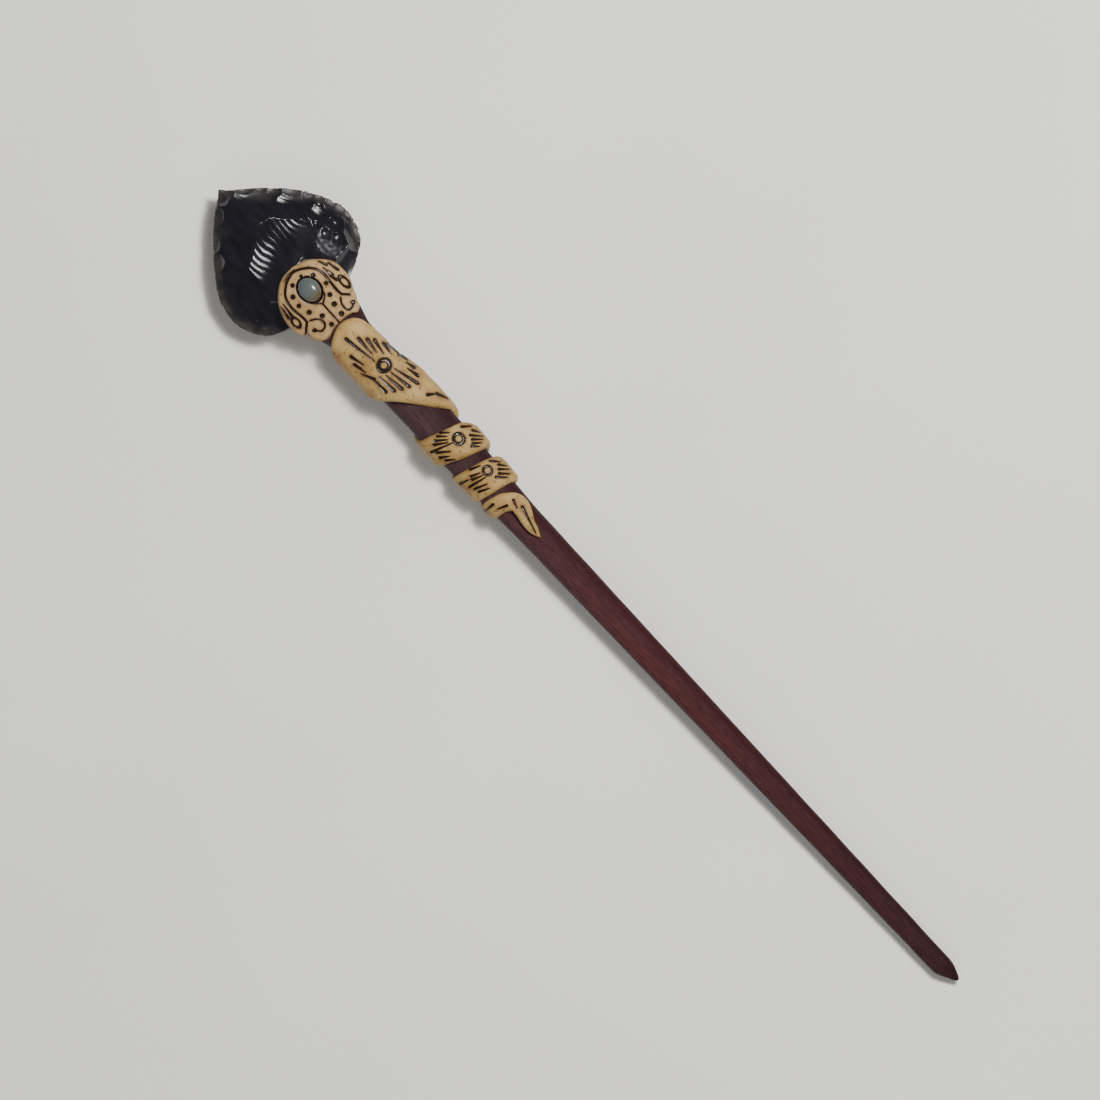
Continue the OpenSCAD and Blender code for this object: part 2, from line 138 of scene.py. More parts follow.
# Scars where flakes came off. Columns: x, y, floor over the rim, radius along and
# across, turn in degrees, then where the flake was struck (x, y) and how high its
# ripples stand
FRONT_SCARS = [
    (15, 21, 1.9, 27, 220, 0, 13.8, 11, 0.027),
    (14.5, -13, 0.8, 58, 10, -8, 14, -26, 0.006),
    (5.5, -5, 1.2, 20, 12, -35, 2, -12, 0.008),
    (19.2, 16.5, 1.75, 22, 48, 0, 22, 22, 0.02),
    (23, 4.5, 2.8, 30, 14, 0, 24, 16, 0.006),
    (10.4, 10, 0.7, 14.5, 5.9, 42, 6, 16, 0.02),
    (15.4, 12.7, 1.04, 8.7, 5.9, 20, 15, 20, 0.02),
    (4.9, 5.3, 0.44, 14.5, 4.7, 48, 1, 11, 0.015),
    (5.5, 5.5, 1, 6, 10, 0, 4.5, 9, 0.035),
    (27.8, 9.7, 0.44, 11.6, 3, 100, 33, 14, 0.01),
    (26.1, -10.6, 0.87, 8.7, 5.9, 70, 31, -16, 0.02),
    (8.6, 6.5, 1.85, 4, 5, 10, 8, 11, 0.02),
    (14.6, 12.4, 0.9, 2.2, 1.6, 0, 14.6, 15, 0.03),
    (19.2, 12.4, 1, 2.4, 2.2, 10, 19.5, 15, 0.03),
    (19.6, 9.6, 1.95, 2.2, 1.8, 10, 19.6, 12, 0.03),
    (21.4, 10.6, 1.75, 1.8, 2, 20, 21.4, 13, 0.03),
    (16.8, 9.8, 1.9, 2.2, 2, 0, 16.8, 12, 0.03),
    (12.6, -7.2, 3, 2.2, 3, -10, 12.6, -3, 0.02),
]
BACK_SCARS = [
    (10.4, 1.8, 2.39, 26.1, 14.8, 20, 8, 18, 0.03),
    (17.4, 10.6, 1.16, 26.1, 8.9, 25, 17, 22, 0.02),
    (17.4, -10.6, 1.16, 26.1, 8.9, -25, 17, -22, 0.02),
    (5.8, -3.5, 0.85, 14.5, 5.9, -40, 1, -11, 0.02),
    (6.4, 5.9, 0.85, 14.5, 5.9, 42, 1, 12, 0.02),
    (27, 8.9, 0.77, 8.7, 5.9, 100, 33, 13, 0.01),
    (27, -8.9, 0.77, 8.7, 5.9, 80, 33, -13, 0.01),
]
RIPPLE_STEP = 1.1
RETOUCH_SCARS = 13
RETOUCH_RIPPLE = 0.004

# The dull facet near the stone's base: its middle, and its half length and half width
DULL_X = 22
DULL_Y = 8
DULL_L = 3.4
DULL_W = 1.9

# Outline of the medallion round the domed stone. Columns: along (share of
# MEDALLION_L), across (share of MEDALLION_W)
MEDALLION = [
    (-0.396, 0.024), (-0.34, 0.21), (-0.23, 0.35), (-0.09, 0.459), (0.06, 0.49),
    (0.237, 0.479), (0.378, 0.417), (0.42, 0.35), (0.504, 0.359), (0.6, 0.335),
    (0.659, 0.259), (0.62, 0.19), (0.6, 0.1), (0.6, 0), (0.6, -0.1), (0.625, -0.16),
    (0.652, -0.245), (0.6, -0.35), (0.504, -0.403), (0.41, -0.395), (0.4, -0.452),
    (0.304, -0.5), (0.15, -0.507), (-0.015, -0.476), (-0.163, -0.41), (-0.3, -0.29),
    (-0.378, -0.15), (-0.396, 0.024),
]

# Lines pressed into the medallion: half width, depth, then the points along it
MEDALLION_LINES = [
    (0.25, 0.34, [(29.7, 3.75), (28.5, 3.65), (26, 3.8), (25, 3.95), (24, 3.8), (23, 3.4), (22.2, 2.8),
                (21.6, 2), (21.1, 1.2), (20.75, 0.4), (20.7, -0.6), (21, -1.6), (21.5, -2.6),
                (22.6, -3.9), (23.3, -4.3), (24.3, -4.6), (25.5, -4.75), (26.8, -4.6), (28, -4.4),
                (29.1, -4.4)]),
    (0.1, 0.12, [(20.45, 0.5), (20.35, -1), (20.9, -2.4)]),
    (0.24, 0.38, [(29.6, 3.7), (30.2, 4.3), (31, 5.1)]),
    (0.24, 0.38, [(29.1, -4.4), (29.6, -5), (30.5, -6)]),
    (0.2, 0.3, [(30, 3.2), (30.5, 2.8), (31.2, 2.5), (32, 2.45), (32.6, 2.65), (32.8, 3), (32.7, 3.7)]),
    (0.2, 0.3, [(29.3, -3.8), (29.7, -3), (30.3, -2.4), (31, -2.1), (31.6, -2.2), (32.1, -2.7),
                  (32.2, -3.4), (31.9, -3.9)]),
    (0.17, 0.24, [(27.4, 1.6), (27.9, 1.2), (28.3, 0.6), (28.7, 0)]),
    (0.17, 0.24, [(27.5, -1.2), (28.3, -0.3), (28.7, 0)]),
    (0.18, 0.26, [(28.7, 0), (31, -0.05), (33.4, -0.1)]),
]

# Tapered strokes. Columns: x, y of the thick end, x, y of the thin end
MEDALLION_STROKES = [
    (32.2, 4.5, 32.75, 3.5), (31.1, -4.6, 31.9, -3.8),
    (26, 4.95, 23.8, 4.6), (27.2, 4.95, 25.7, 4.45), (25.9, 6.35, 23.7, 5.9), (23.8, 5.4, 22.3, 4.75),
    (26.6, -5.7, 23.7, -5.4), (26.3, -6.4, 23.9, -6),
]
LEAF_STROKES = [
    (36.3, -1.3, 43, -0.2), (37.8, 0.5, 41.5, 0.3), (39, 1.6, 41.8, 1.2), (40, 2.5, 43, 2),
    (41.5, 3.3, 44, 3), (42.2, 3.8, 44.5, 4), (45, 4.05, 46.8, 4.4), (48.6, 4.35, 46.9, 4),
    (50.2, 3.9, 47.9, 3.4), (51.2, 2.9, 46.4, 1.6), (50.6, 1.3, 46.4, 0.6), (50, 0, 46, -0.5),
    (49.3, -1.3, 45.7, -1.5), (48.4, -2.6, 45.2, -2.6), (45.2, -2.6, 42.9, -3.6),
    (40.8, -3.4, 43.2, -2.9), (39.3, -2.9, 42, -2.2), (54, 2.8, 55, 4.2), (55, 4.2, 57, 5),
]
FIRST_BAND_STROKES = [
    (62.6, 3.4, 63.7, 4.7), (64.4, 4.4, 65.6, 5.1), (64.8, 3.5, 66.5, 5), (65.6, 3.2, 66.9, 4.6),
    (66.2, 2.8, 67.2, 4), (66.5, 2.3, 67.5, 3.3), (60.7, -0.3, 61.8, 0.9), (60.8, -1.2, 62, 0.1),
    (61.1, -2.1, 62.6, -0.2), (61.5, -2.8, 63, -0.5), (62.2, -4, 63.6, 0), (62.9, -3.4, 64.5, -1.3),
    (64, -3.6, 65, -2.1), (65.1, -3.1, 66.2, -1.7),
]
SECOND_BAND_STROKES = [
    (69.4, -0.9, 70.2, 1), (70.4, -1.8, 71.1, 0), (71, -2, 71.8, 0), (71.7, -3.2, 72.4, 0.2),
    (72.6, -2.8, 73.5, -0.4), (73.5, -2.6, 74.4, -0.6), (70.1, -4, 70.6, -2.4), (70.8, 3, 72.2, 4.2),
    (72.3, 3.6, 73.5, 4.5), (73, 3.1, 74.3, 4.5), (73.6, 2.6, 75, 4), (73.7, 1.7, 75.2, 3.2),
]
TAIL_STROKES = [
    (81, 1.5, 86.2, 0), (79, 1.1, 80.5, 0.6), (77, -2.2, 76.9, -4), (78.9, -0.5, 78.2, -2.2),
]

# Pressed dots. Columns: x, y, radius
MEDALLION_DOTS = [
    (22.2, 0.5, 0.35), (23.6, 2.3, 0.45), (26.3, 3.05, 0.45), (28.3, 2.1, 0.5), (30.1, 1.5, 0.55),
    (32.3, 1.3, 0.55), (22.4, -1.8, 0.45), (24, -3.2, 0.5), (25.95, -3.5, 0.45), (28.1, -2.9, 0.5),
    (30.2, -1.6, 0.5), (32.5, -1.4, 0.5), (32.2, 4.3, 0.42), (31.2, -4.4, 0.42),
]
LEAF_DOTS = [(36.4, -1.28, 0.42)]

# Pressed rings. Columns: x, y, half length, half width, half width of the groove
MEDALLION_RINGS = [(28.35, 5.7, 1.25, 0.62, 0.3), (27.8, -5.95, 1.05, 0.62, 0.28)]
LEAF_RINGS = [(44.6, 0.55, 1.02, 1.1, 0.5)]
FIRST_BAND_RINGS = [(63.85, 1.45, 0.97, 0.97, 0.36)]
SECOND_BAND_RINGS = [(71.75, 1.35, 0.85, 0.85, 0.27)]

# The wound strip, row by row from the leaf's lower edge to the tail's end.
# Columns: the edge nearer the stone (hundredths of WRAP_L, degrees round the stick
# from its front towards +Y), the edge nearer the tip (the same two), and thickness
# (0 as behind the stick, 1 as at the leaf, thinner still below 0)
STRIP = [
    (12.4, -118, 15.5, -118, 0), (10, -104, 20, -106, 0.3), (6.8, -82, 24.6, -90, 0.6),
    (3.6, -57, 28.4, -66, 0.9), (1, -29, 32, -37, 1), (0, -3, 36.4, -10, 1),
    (0.5, 19, 40.6, 17, 1), (2, 36, 43.9, 40, 0.8), (5, 48, 46.3, 62, 0.6),
    (13.1, 57, 48, 85, 0.4), (21.8, 69, 50.2, 108, 0.25), (28.8, 100, 52, 135, 0.1),
    (34.4, 142, 53.8, 160, 0), (38.9, 175, 55, 186, 0), (42.6, 212, 56.3, 216, 0),
    (45.1, 246, 57.4, 246, -0.2), (47.2, 272, 58.7, 272, -0.3), (48.5, 313, 60.3, 318, 0.4),
    (49.7, 344, 62.2, 347, 0.7), (51.1, 376, 63.5, 379, 0.75), (52.7, 411, 64.6, 409, 0.75),
    (55.6, 440, 65.3, 440, 0.6), (58, 475, 66.4, 478, 0.3), (59.6, 510, 68.5, 512, 0),
    (61.4, 545, 71, 546, 0), (62.9, 580, 73.6, 580, 0), (64, 612, 75.7, 610, -0.5),
    (64.6, 632, 76.6, 632, -0.8), (65, 664, 77.1, 673, -0.1), (66, 704, 77.9, 704, 0.55),
    (67, 736, 78.7, 739, 0.6), (68.3, 768, 79.4, 768, 0.5), (69.9, 800, 80.5, 802, 0.2),
    (72, 835, 80.7, 835, 0), (73.8, 870, 81.2, 870, 0), (75.5, 905, 82.1, 905, 0),
    (77, 940, 83.3, 940, -0.3), (77.7, 970, 84.2, 970, -0.6), (78, 992, 84.7, 992, -0.7),
    (78.4, 1037, 85.3, 1041, 0.1), (78.9, 1058, 85.9, 1060, 0.6), (79.6, 1080, 87.1, 1074, 0.65),
    (81, 1098, 87.8, 1073, 0.6), (82.9, 1115, 88.8, 1072, 0.5), (85.5, 1125, 90.1, 1070, 0.4),
    (88.4, 1125, 91.8, 1067, 0.3), (91.2, 1117, 93.8, 1065, 0.2), (94.2, 1103, 95.8, 1065, 0.1),
    (97.1, 1095, 97.7, 1068, 0), (99.4, 1085, 99.4, 1075, -0.3), (100, 1081, 100, 1079, -0.5),
]

# The view and the lamps, in metres and degrees
CAMERA_DISTANCE = 2
VIEW_WIDTH = 0.203
VIEW_MIDDLE = (-0.0097, -0.00055)
CAMERA_TURN = 47.09
FLOOR_HALF_WIDTH = 1.5
KEY_PLACE = (-0.04, 0.35, 0.73)
KEY_TARGET = (-0.02, 0, 0)
FILL_PLACE = (0.5, -0.9, 0.9)


def curve_at(table, t):
    """Smooth curve through a table's rows, at places t from 0 to the last row."""
    rows = np.asarray(table, float)
    last = len(rows) - 1
    i = np.clip(np.floor(t).astype(int), 0, last - 1)
    f = (t - i)[:, None]
    before, start = rows[np.maximum(i - 1, 0)], rows[i]
    end, after = rows[i + 1], rows[np.minimum(i + 2, last)]
    return start + 0.5 * f * (end - before + f * (2 * before - 5 * start + 4 * end - after
                                                  + f * (3 * (start - end) + after - before)))


def share_between(x, low, high):
    return np.clip((x - low) / (high - low), 0, 1)


def smooth_step(x, low, high):
    s = share_between(x, low, high)
    return s * s * (3 - 2 * s)


def unevenness(x, y, step):
    """Soft waves from -1 to 1 whose length is about step millimetres."""
    k = tau / step
    first = np.sin(k * x + 1.7 * np.sin(0.6 * k * y))
    second = np.sin(0.83 * k * y + 2.1 * np.sin(0.47 * k * x) + 1.3)
    return (first + second) / 2


# The stick's skin

def stick_half_w(x):
    flare_x = STICK_X + FLARE_HOLD
    flare = FLARE_W + (GRIP_W - FLARE_W) * share_between(x, flare_x, flare_x + FLARE_L)
    neck = GRIP_W + (BLADE_W - GRIP_W) * share_between(x, GRIP_END_X, BLADE_X)
    blade = BLADE_W + (TIP_W - BLADE_W) * share_between(x, BLADE_X, POINT_X)
    return np.where(x < GRIP_END_X, flare, np.where(x < BLADE_X, neck, blade)) / 2


def stick_half_t(x):
    neck = GRIP_T + (BLADE_T - GRIP_T) * share_between(x, GRIP_END_X, BLADE_X)
    blade = BLADE_T + (TIP_T - BLADE_T) * share_between(x, BLADE_X, POINT_X)
    return np.where(x < BLADE_X, neck, blade) / 2


def axis_y(x):
    return SWAY * share_between(x, GRIP_END_X, TIP_X)


def axis_z(x):
    return TIP_T / 2 + SLOPE * (POINT_X - x)


def on_stick(x, angle, height):
    """Points at x, at an angle from the front towards +Y, a height above the skin."""
    a = np.radians(angle)
    wide = np.abs(np.sin(a) / stick_half_w(x)) ** SQUARE
    high = np.abs(np.cos(a) / stick_half_t(x)) ** SQUARE
    r = (wide + high) ** (-1 / SQUARE) + height
    return np.stack([x, axis_y(x) + r * np.sin(a), axis_z(x) + r * np.cos(a)], axis=-1)


# The knapped stone's skin

def stone_edges(x):
    u = np.array([row[0] for row in STONE_OUTLINE]) * STONE_L
    upper = np.interp(x, u, [row[1] * STONE_W for row in STONE_OUTLINE])
    lower = np.interp(x, u, [row[2] * STONE_W for row in STONE_OUTLINE])
    return upper, lower


def retouch(seed):
    """Small scars along both edges, in the columns of FRONT_SCARS."""
    pick = random.Random(seed)
    scars = []
    for i in range(RETOUCH_SCARS):
        x = STONE_L * (0.03 + 0.93 * (i + pick.uniform(-0.3, 0.3)) / RETOUCH_SCARS)
        upper, lower = stone_edges(x)
        for edge, side in ((float(upper), 1), (float(lower), -1)):
            slant = side * (52 - 100 * (x / STONE_L) ** 2)
            reach = pick.uniform(1.5, 4)
            floor = pick.uniform(0.05, 0.35)
            along_r = pick.uniform(0.6, 1.5) * reach
            across_r = 0.6 * reach
            scars.append((x, edge, floor, along_r, across_r, slant, x, edge, RETOUCH_RIPPLE))
    return scars


def skin(x, y, full, scars):
    """Height over the rim: a crowned blank, cut down by rippled scars."""
    upper, lower = stone_edges(x)
    u = np.clip(x / STONE_L, 0, 1)
    v = np.clip((2 * y - upper - lower) / (upper - lower), -1, 1)
    crown = (1 - np.abs(v) ** CROWN_SQUARE) ** CROWN_ROUND
    to_point = np.minimum(1, (u / POINT_RUN) ** CROWN_ROUND)
    to_base = np.minimum(1, (1 - u) / BASE_RUN) ** BASE_ROUND
    blank = full * crown * to_point * to_base
    height = blank.copy()
    for sx, sy, floor, along_r, across_r, turn, strike_x, strike_y, ripple in scars:
        dx, dy = x - sx, y - sy
        c, s = cos(radians(turn)), sin(radians(turn))
        hollow = floor + (dx * c + dy * s) ** 2 / (2 * along_r) + (dy * c - dx * s) ** 2 / (2 * across_r)
        away = np.hypot(x - strike_x, y - strike_y)
        phase = tau * away / RIPPLE_STEP + 1.6 * unevenness(x, y, 7)
        wave = np.sin(phase) + 0.25 * np.sin(2 * phase)
        broken = 0.7 + 0.3 * unevenness(x + 3 * strike_x, y, 5.2)
        height = np.minimum(height, hollow + ripple * wave * broken)
    return np.maximum(LEAST_LEFT * blank, height)


# What the clay lies on, and the medallion's smooth front

def carried_height(x, y, side):
    """Height of the stone and the stick over the rim at a place, 0 outside both."""
    upper, lower = stone_edges(x)
    on_stone = (x <= STONE_L) & (y < upper) & (y > lower)
    full, scars = (STONE_UP, FRONT_SCARS) if side > 0 else (STONE_DOWN, BACK_SCARS)
    stone = np.where(on_stone, skin(np.minimum(x, STONE_L), y, full, scars), 0)
    share = np.clip(np.abs(y - axis_y(x)) / stick_half_w(x), 0, 1)
    stick = stick_half_t(x) * (1 - share ** SQUARE) ** (1 / SQUARE) + side * (axis_z(x) - RIM_Z)
    return np.maximum(stone, np.where((x >= STONE_L) & (share < 1), stick, 0))


def front_skin(x, y):
    along = (x - DOME_X) / MEDALLION_L
    across = 2 * y / MEDALLION_W
    end_fall = FRONT_Z - (axis_z(x) + GRIP_T / 2 + 1.5)
    towards_tip = end_fall * np.sin(pi / 2 * np.clip(along / 0.55, 0, 1)) ** 2
    return FRONT_Z - MEDALLION_FALL * across ** 2 - np.where(along < 0, 4 * along ** 2, towards_tip)


# Pressed marks

def pressed(distance, half_width, depth):
    """How deep the clay is pressed, with a low lip round it, and how dark it is."""
    floor = depth * (1 - smooth_step(distance, 0.45 * half_width, 1.1 * half_width))
    lip = 0.12 * depth * np.exp(-((distance / half_width - 1.45) / 0.3) ** 2)
    return floor - lip, 1 - smooth_step(distance, 0.75 * half_width, 1.2 * half_width)


def along_line(x, y, ax, ay, bx, by):
    """Distance to a straight line between two places, and the share along it."""
    run_x, run_y = bx - ax, by - ay
    share = np.clip(((x - ax) * run_x + (y - ay) * run_y) / (run_x ** 2 + run_y ** 2), 0, 1)
    return np.hypot(x - ax - share * run_x, y - ay - share * run_y), share


def marks(x, y, lines, strokes, dots, rings, thick, thin):
    """Depth, darkness and brown tint round marks; thick and thin are a stroke's half widths."""
    depth = np.zeros_like(x)
    dark = np.zeros_like(x)
    wash_and_shade = np.zeros_like(x)
    found = []
    for half_width, line_depth, points in lines:
        near = np.min([along_line(x, y, *a, *b)[0] for a, b in zip(points, points[1:])], axis=0)
        found.append((near, half_width, line_depth))
    for ax, ay, bx, by in strokes:
        near, share = along_line(x, y, ax, ay, bx, by)
        found.append((near, thick + (thin - thick) * share, STROKE_DEPTH - STROKE_RISE * share))
    for dx, dy, radius in dots:
        found.append((np.hypot(x - dx, y - dy), radius, DOT_DEPTH))
    for rx, ry, half_l, half_w, groove in rings:
        round_it = np.hypot((x - rx) / half_l, (y - ry) / half_w)
        found.append((np.abs(round_it - 1) * 0.5 * (half_l + half_w), groove, RING_DEPTH))
    for near, half_width, mark_depth in found:
        floor, colour = pressed(near, half_width, mark_depth)
        depth = np.where(np.abs(floor) > np.abs(depth), floor, depth)
        dark = np.maximum(dark, colour)
        wash_and_shade = np.maximum(wash_and_shade, np.exp(-(near / (half_width + STAIN_REACH)) ** 2))
    return depth, dark, wash_and_shade


# Mesh building

def grid_into(bm, points, layers):
    """Adds a grid whose corners are points (rows, columns, 3), in millimetres."""
    rows, columns = points.shape[:2]
    made = bmesh.ops.create_grid(bm, x_segments=columns - 1, y_segments=rows - 1, size=0.5)["verts"]
    placed = (points - (MIDDLE_X, MIDDLE_Y, 0)) * MM
    values = [(bm.verts.layers.float[name], array.tolist()) for name, array in layers.items()]
    corners = placed.tolist()
    for vert in made:
        i = round((vert.co.y + 0.5) * (rows - 1))
        j = round((vert.co.x + 0.5) * (columns - 1))
        vert.co = corners[i][j]
        for layer, array in values:
            vert[layer] = array[i][j]


def piece(name, grids, material, node):
    """Builds one piece from grids that are joined where they meet, and closes it."""
    bm = bmesh.new()
    for layer in grids[0][1]:
        bm.verts.layers.float.new(layer)
    for points, layers in grids:
        grid_into(bm, points, layers)
    bmesh.ops.remove_doubles(bm, verts=bm.verts, dist=JOIN_DISTANCE)
    bmesh.ops.holes_fill(bm, edges=[e for e in bm.edges if e.is_boundary], sides=0)
    bmesh.ops.recalc_face_normals(bm, faces=bm.faces)
    for face in bm.faces:
        face.smooth = True
    mesh = bpy.data.meshes.new(name)
    bm.to_mesh(mesh)
    bm.free()
    mesh.materials.append(material)
    made = bpy.data.objects.new(name, mesh)
    bpy.context.scene.collection.objects.link(made)
    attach(made, "root")
    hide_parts(node)


# Materials

def new_material(name):
    material = bpy.data.materials.new(name)
    material.use_nodes = True
    tree = material.node_tree
    return material, tree, tree.nodes["Principled BSDF"]


def add(tree, kind, links=None, **settings):
    """Adds a node; links maps its inputs to outputs, or to constants."""
    node = tree.nodes.new(kind)
    for key, value in settings.items():
        setattr(node, key, value)
    for key, value in (links or {}).items():
        if isinstance(value, bpy.types.NodeSocket):
            tree.links.new(value, node.inputs[key])
        else:
            node.inputs[key].default_value = value
    return node


def ramp(tree, factor, stops):
    node = add(tree, "ShaderNodeValToRGB", {"Fac": factor})
    elements = node.color_ramp.elements
    while len(elements) < len(stops):
        elements.new(0.5)
    for element, (place, colour) in zip(elements, stops):
        element.position = place
        element.color = (*colour, 1)
    return node.outputs["Color"]


def grey(value):
    return (value, value, value)


def noise(tree, scale, detail, stretch=(1, 1, 1), turn=(0, 0, 0)):
    """Noise of so many features per metre, stretched along the object's axes."""
    coordinates = add(tree, "ShaderNodeTexCoord").outputs["Object"]
    mapped = add(tree, "ShaderNodeMapping", {"Vector": coordinates, "Scale": stretch, "Rotation": turn})
    return add(tree, "ShaderNodeTexNoise", {"Vector": mapped.outputs["Vector"], "Scale": scale,
                                            "Detail": detail}).outputs["Fac"]


def opaque(colour):
    """A colour as a node takes it; an output of another node stays as it is."""
    return colour if isinstance(colour, bpy.types.NodeSocket) else (*colour, 1)


def mixed(tree, factor, first, second, blend="MIX"):
    """Mixes two colours, which are inputs 6 and 7 of the node, and its output 2."""
    sockets = {0: factor, 6: opaque(first), 7: opaque(second)}
    return add(tree, "ShaderNodeMix", sockets, data_type="RGBA", blend_type=blend).outputs[2]


def attribute(tree, name):
    return add(tree, "ShaderNodeAttribute", attribute_name=name).outputs["Fac"]


def bump(tree, height, shader, strength, distance):
    node = add(tree, "ShaderNodeBump", {"Height": height, "Strength": strength, "Distance": distance})
    tree.links.new(node.outputs["Normal"], shader.inputs["Normal"])


def obsidian_material():
    material, tree, shader = new_material("obsidian")
    thin = attribute(tree, "thin")
    frost = attribute(tree, "frost")
    veins = noise(tree, scale=260, detail=5, stretch=(1, 3, 1), turn=(0, 0, 0.3))
    body = ramp(tree, veins, [(0.35, (0.0024, 0.0022, 0.004)), (0.7, (0.007, 0.006, 0.01))])
    smoky = ramp(tree, noise(tree, scale=500, detail=4),
                 [(0.3, (0.008, 0.007, 0.007)), (0.75, (0.04, 0.032, 0.028))])
    edged = mixed(tree, thin, body, smoky)
    tree.links.new(mixed(tree, frost, edged, (0.03, 0.03, 0.038)), shader.inputs["Base Color"])
    dulled = add(tree, "ShaderNodeMath", {0: frost, 1: thin}, operation="MAXIMUM")
    rough = add(tree, "ShaderNodeMapRange", {"Value": dulled.outputs[0], "To Min": 0.13, "To Max": 0.5})
    tree.links.new(rough.outputs["Result"], shader.inputs["Roughness"])
    shader.inputs["IOR"].default_value = 1.52
    relief = noise(tree, scale=900, detail=6, stretch=(1, 2.2, 1), turn=(0, 0, 0.25))
    bump(tree, relief, shader, strength=0.2, distance=0.0001)
    return material


def wood_material():
    material, tree, shader = new_material("wood")
    place = add(tree, "ShaderNodeSeparateXYZ", {"Vector": add(tree, "ShaderNodeTexCoord").outputs["Object"]})
    along = add(tree, "ShaderNodeMapRange",
                {"Value": place.outputs["X"], "From Min": -0.07, "From Max": 0.1})
    tone = ramp(tree, along.outputs["Result"],
                [(0, (0.044, 0.018, 0.021)), (0.2, (0.042, 0.0155, 0.018)), (0.5, (0.06, 0.0135, 0.0145)),
                 (0.75, (0.048, 0.0115, 0.0125)), (1, (0.033, 0.0095, 0.0115))])
    streaks = ramp(tree, noise(tree, scale=1, detail=5, stretch=(330, 4200, 4200), turn=(0, 0.02, 0.06)),
                   [(0.28, grey(0.66)), (0.5, grey(0.95)), (0.75, grey(1.35))])
    pores = ramp(tree, noise(tree, scale=1, detail=2, stretch=(600, 8000, 8000), turn=(0, 0, 0.07)),
                 [(0.3, grey(0.45)), (0.42, grey(1))])
    # Paler and greyer on the -Y side and darker on the +Y side: painted sheen and painted shade across the
    # stick.
    across = add(tree, "ShaderNodeMapRange",
                 {"Value": place.outputs["Y"], "From Min": -0.002, "From Max": 0.0015})
    painted_side_sheen_and_shade = ramp(tree, across.outputs["Result"], [(0, (1.12, 1.45, 1.4)), (1, (0.5, 0.37, 0.39))])
    grained = mixed(tree, 1, mixed(tree, 1, tone, streaks, "MULTIPLY"), pores, "MULTIPLY")
    tree.links.new(mixed(tree, 1, grained, painted_side_sheen_and_shade, "MULTIPLY"), shader.inputs["Base Color"])
    rough = ramp(tree, noise(tree, scale=1, detail=3, stretch=(200, 3000, 3000)),
                 [(0.3, grey(0.55)), (0.7, grey(0.72))])
    tree.links.new(rough, shader.inputs["Roughness"])
    shader.inputs["Specular IOR Level"].default_value = 0.14
    relief = noise(tree, scale=1, detail=4, stretch=(220, 5200, 5200), turn=(0, 0, 0.04))
    bump(tree, relief, shader, strength=0.5, distance=0.00012)
    return material


def pressed_clay():
    """What both clays share: specks, brown tint round the marks that also carries painted shade, dark gloss
    in the marks that also paints shade into a gap, fine relief.
    """
    tree = bpy.data.node_groups.new("pressed_clay", "ShaderNodeTree")
    for name in ("Pale", "Dark", "WashAndShade"):
        tree.interface.new_socket(name, in_out="INPUT", socket_type="NodeSocketColor")
    tree.interface.new_socket("Color", in_out="OUTPUT", socket_type="NodeSocketColor")
    for name in ("Roughness", "Relief"):
        tree.interface.new_socket(name, in_out="OUTPUT", socket_type="NodeSocketFloat")
    given = tree.nodes.new("NodeGroupInput").outputs
    mark_and_gap_shade = attribute(tree, "mark_and_gap_shade")
    wash_and_shade = attribute(tree, "wash_and_shade")
    cloud = add(tree, "ShaderNodeMapRange",
                {"Value": noise(tree, scale=230, detail=7), "From Min": 0.36, "From Max": 0.58})
    body = mixed(tree, cloud.outputs["Result"], given["Dark"], given["Pale"])
    flecks = ramp(tree, noise(tree, scale=1500, detail=3), [(0.33, (0.35, 0.25, 0.2)), (0.4, grey(1))])
    speckled = mixed(tree, 0.8, body, flecks, "MULTIPLY")
    # Patchy brown round the marks, which on the medallion also lays painted shade along its rim and round
    # its seat.
    patchiness = ramp(tree, noise(tree, scale=650, detail=5), [(0.35, grey(0.25)), (0.7, grey(1))])
    brown_wash_and_shade = add(tree, "ShaderNodeMath", {0: wash_and_shade, 1: patchiness}, operation="MULTIPLY", use_clamp=True)
    washed_and_shaded = mixed(tree, brown_wash_and_shade.outputs[0], speckled, given["WashAndShade"])
    # Near-black gloss in the marks; the same colour paints shade in the gap round the domed stone.
    marked = mixed(tree, mark_and_gap_shade, washed_and_shaded, (0.012, 0.007, 0.005))
    rough = add(tree, "ShaderNodeMapRange", {"Value": mark_and_gap_shade, "To Min": 0.55, "To Max": 0.2})
    relief = noise(tree, scale=1300, detail=5)
    add(tree, "NodeGroupOutput", {"Color": marked, "Roughness": rough.outputs["Result"], "Relief": relief})
    return tree


def clay_material(name, group, pale, dark, brown_wash_and_shade):
    """Matt clay with speckles, and dark gloss in its pressed marks."""
    material, tree, shader = new_material(name)
    colours = {"Pale": opaque(pale), "Dark": opaque(dark), "WashAndShade": opaque(brown_wash_and_shade)}
    clay = add(tree, "ShaderNodeGroup", colours, node_tree=group).outputs
    tree.links.new(clay["Color"], shader.inputs["Base Color"])
    tree.links.new(clay["Roughness"], shader.inputs["Roughness"])
    shader.inputs["Specular IOR Level"].default_value = 0.3
    bump(tree, clay["Relief"], shader, strength=0.5, distance=0.00012)
    return material


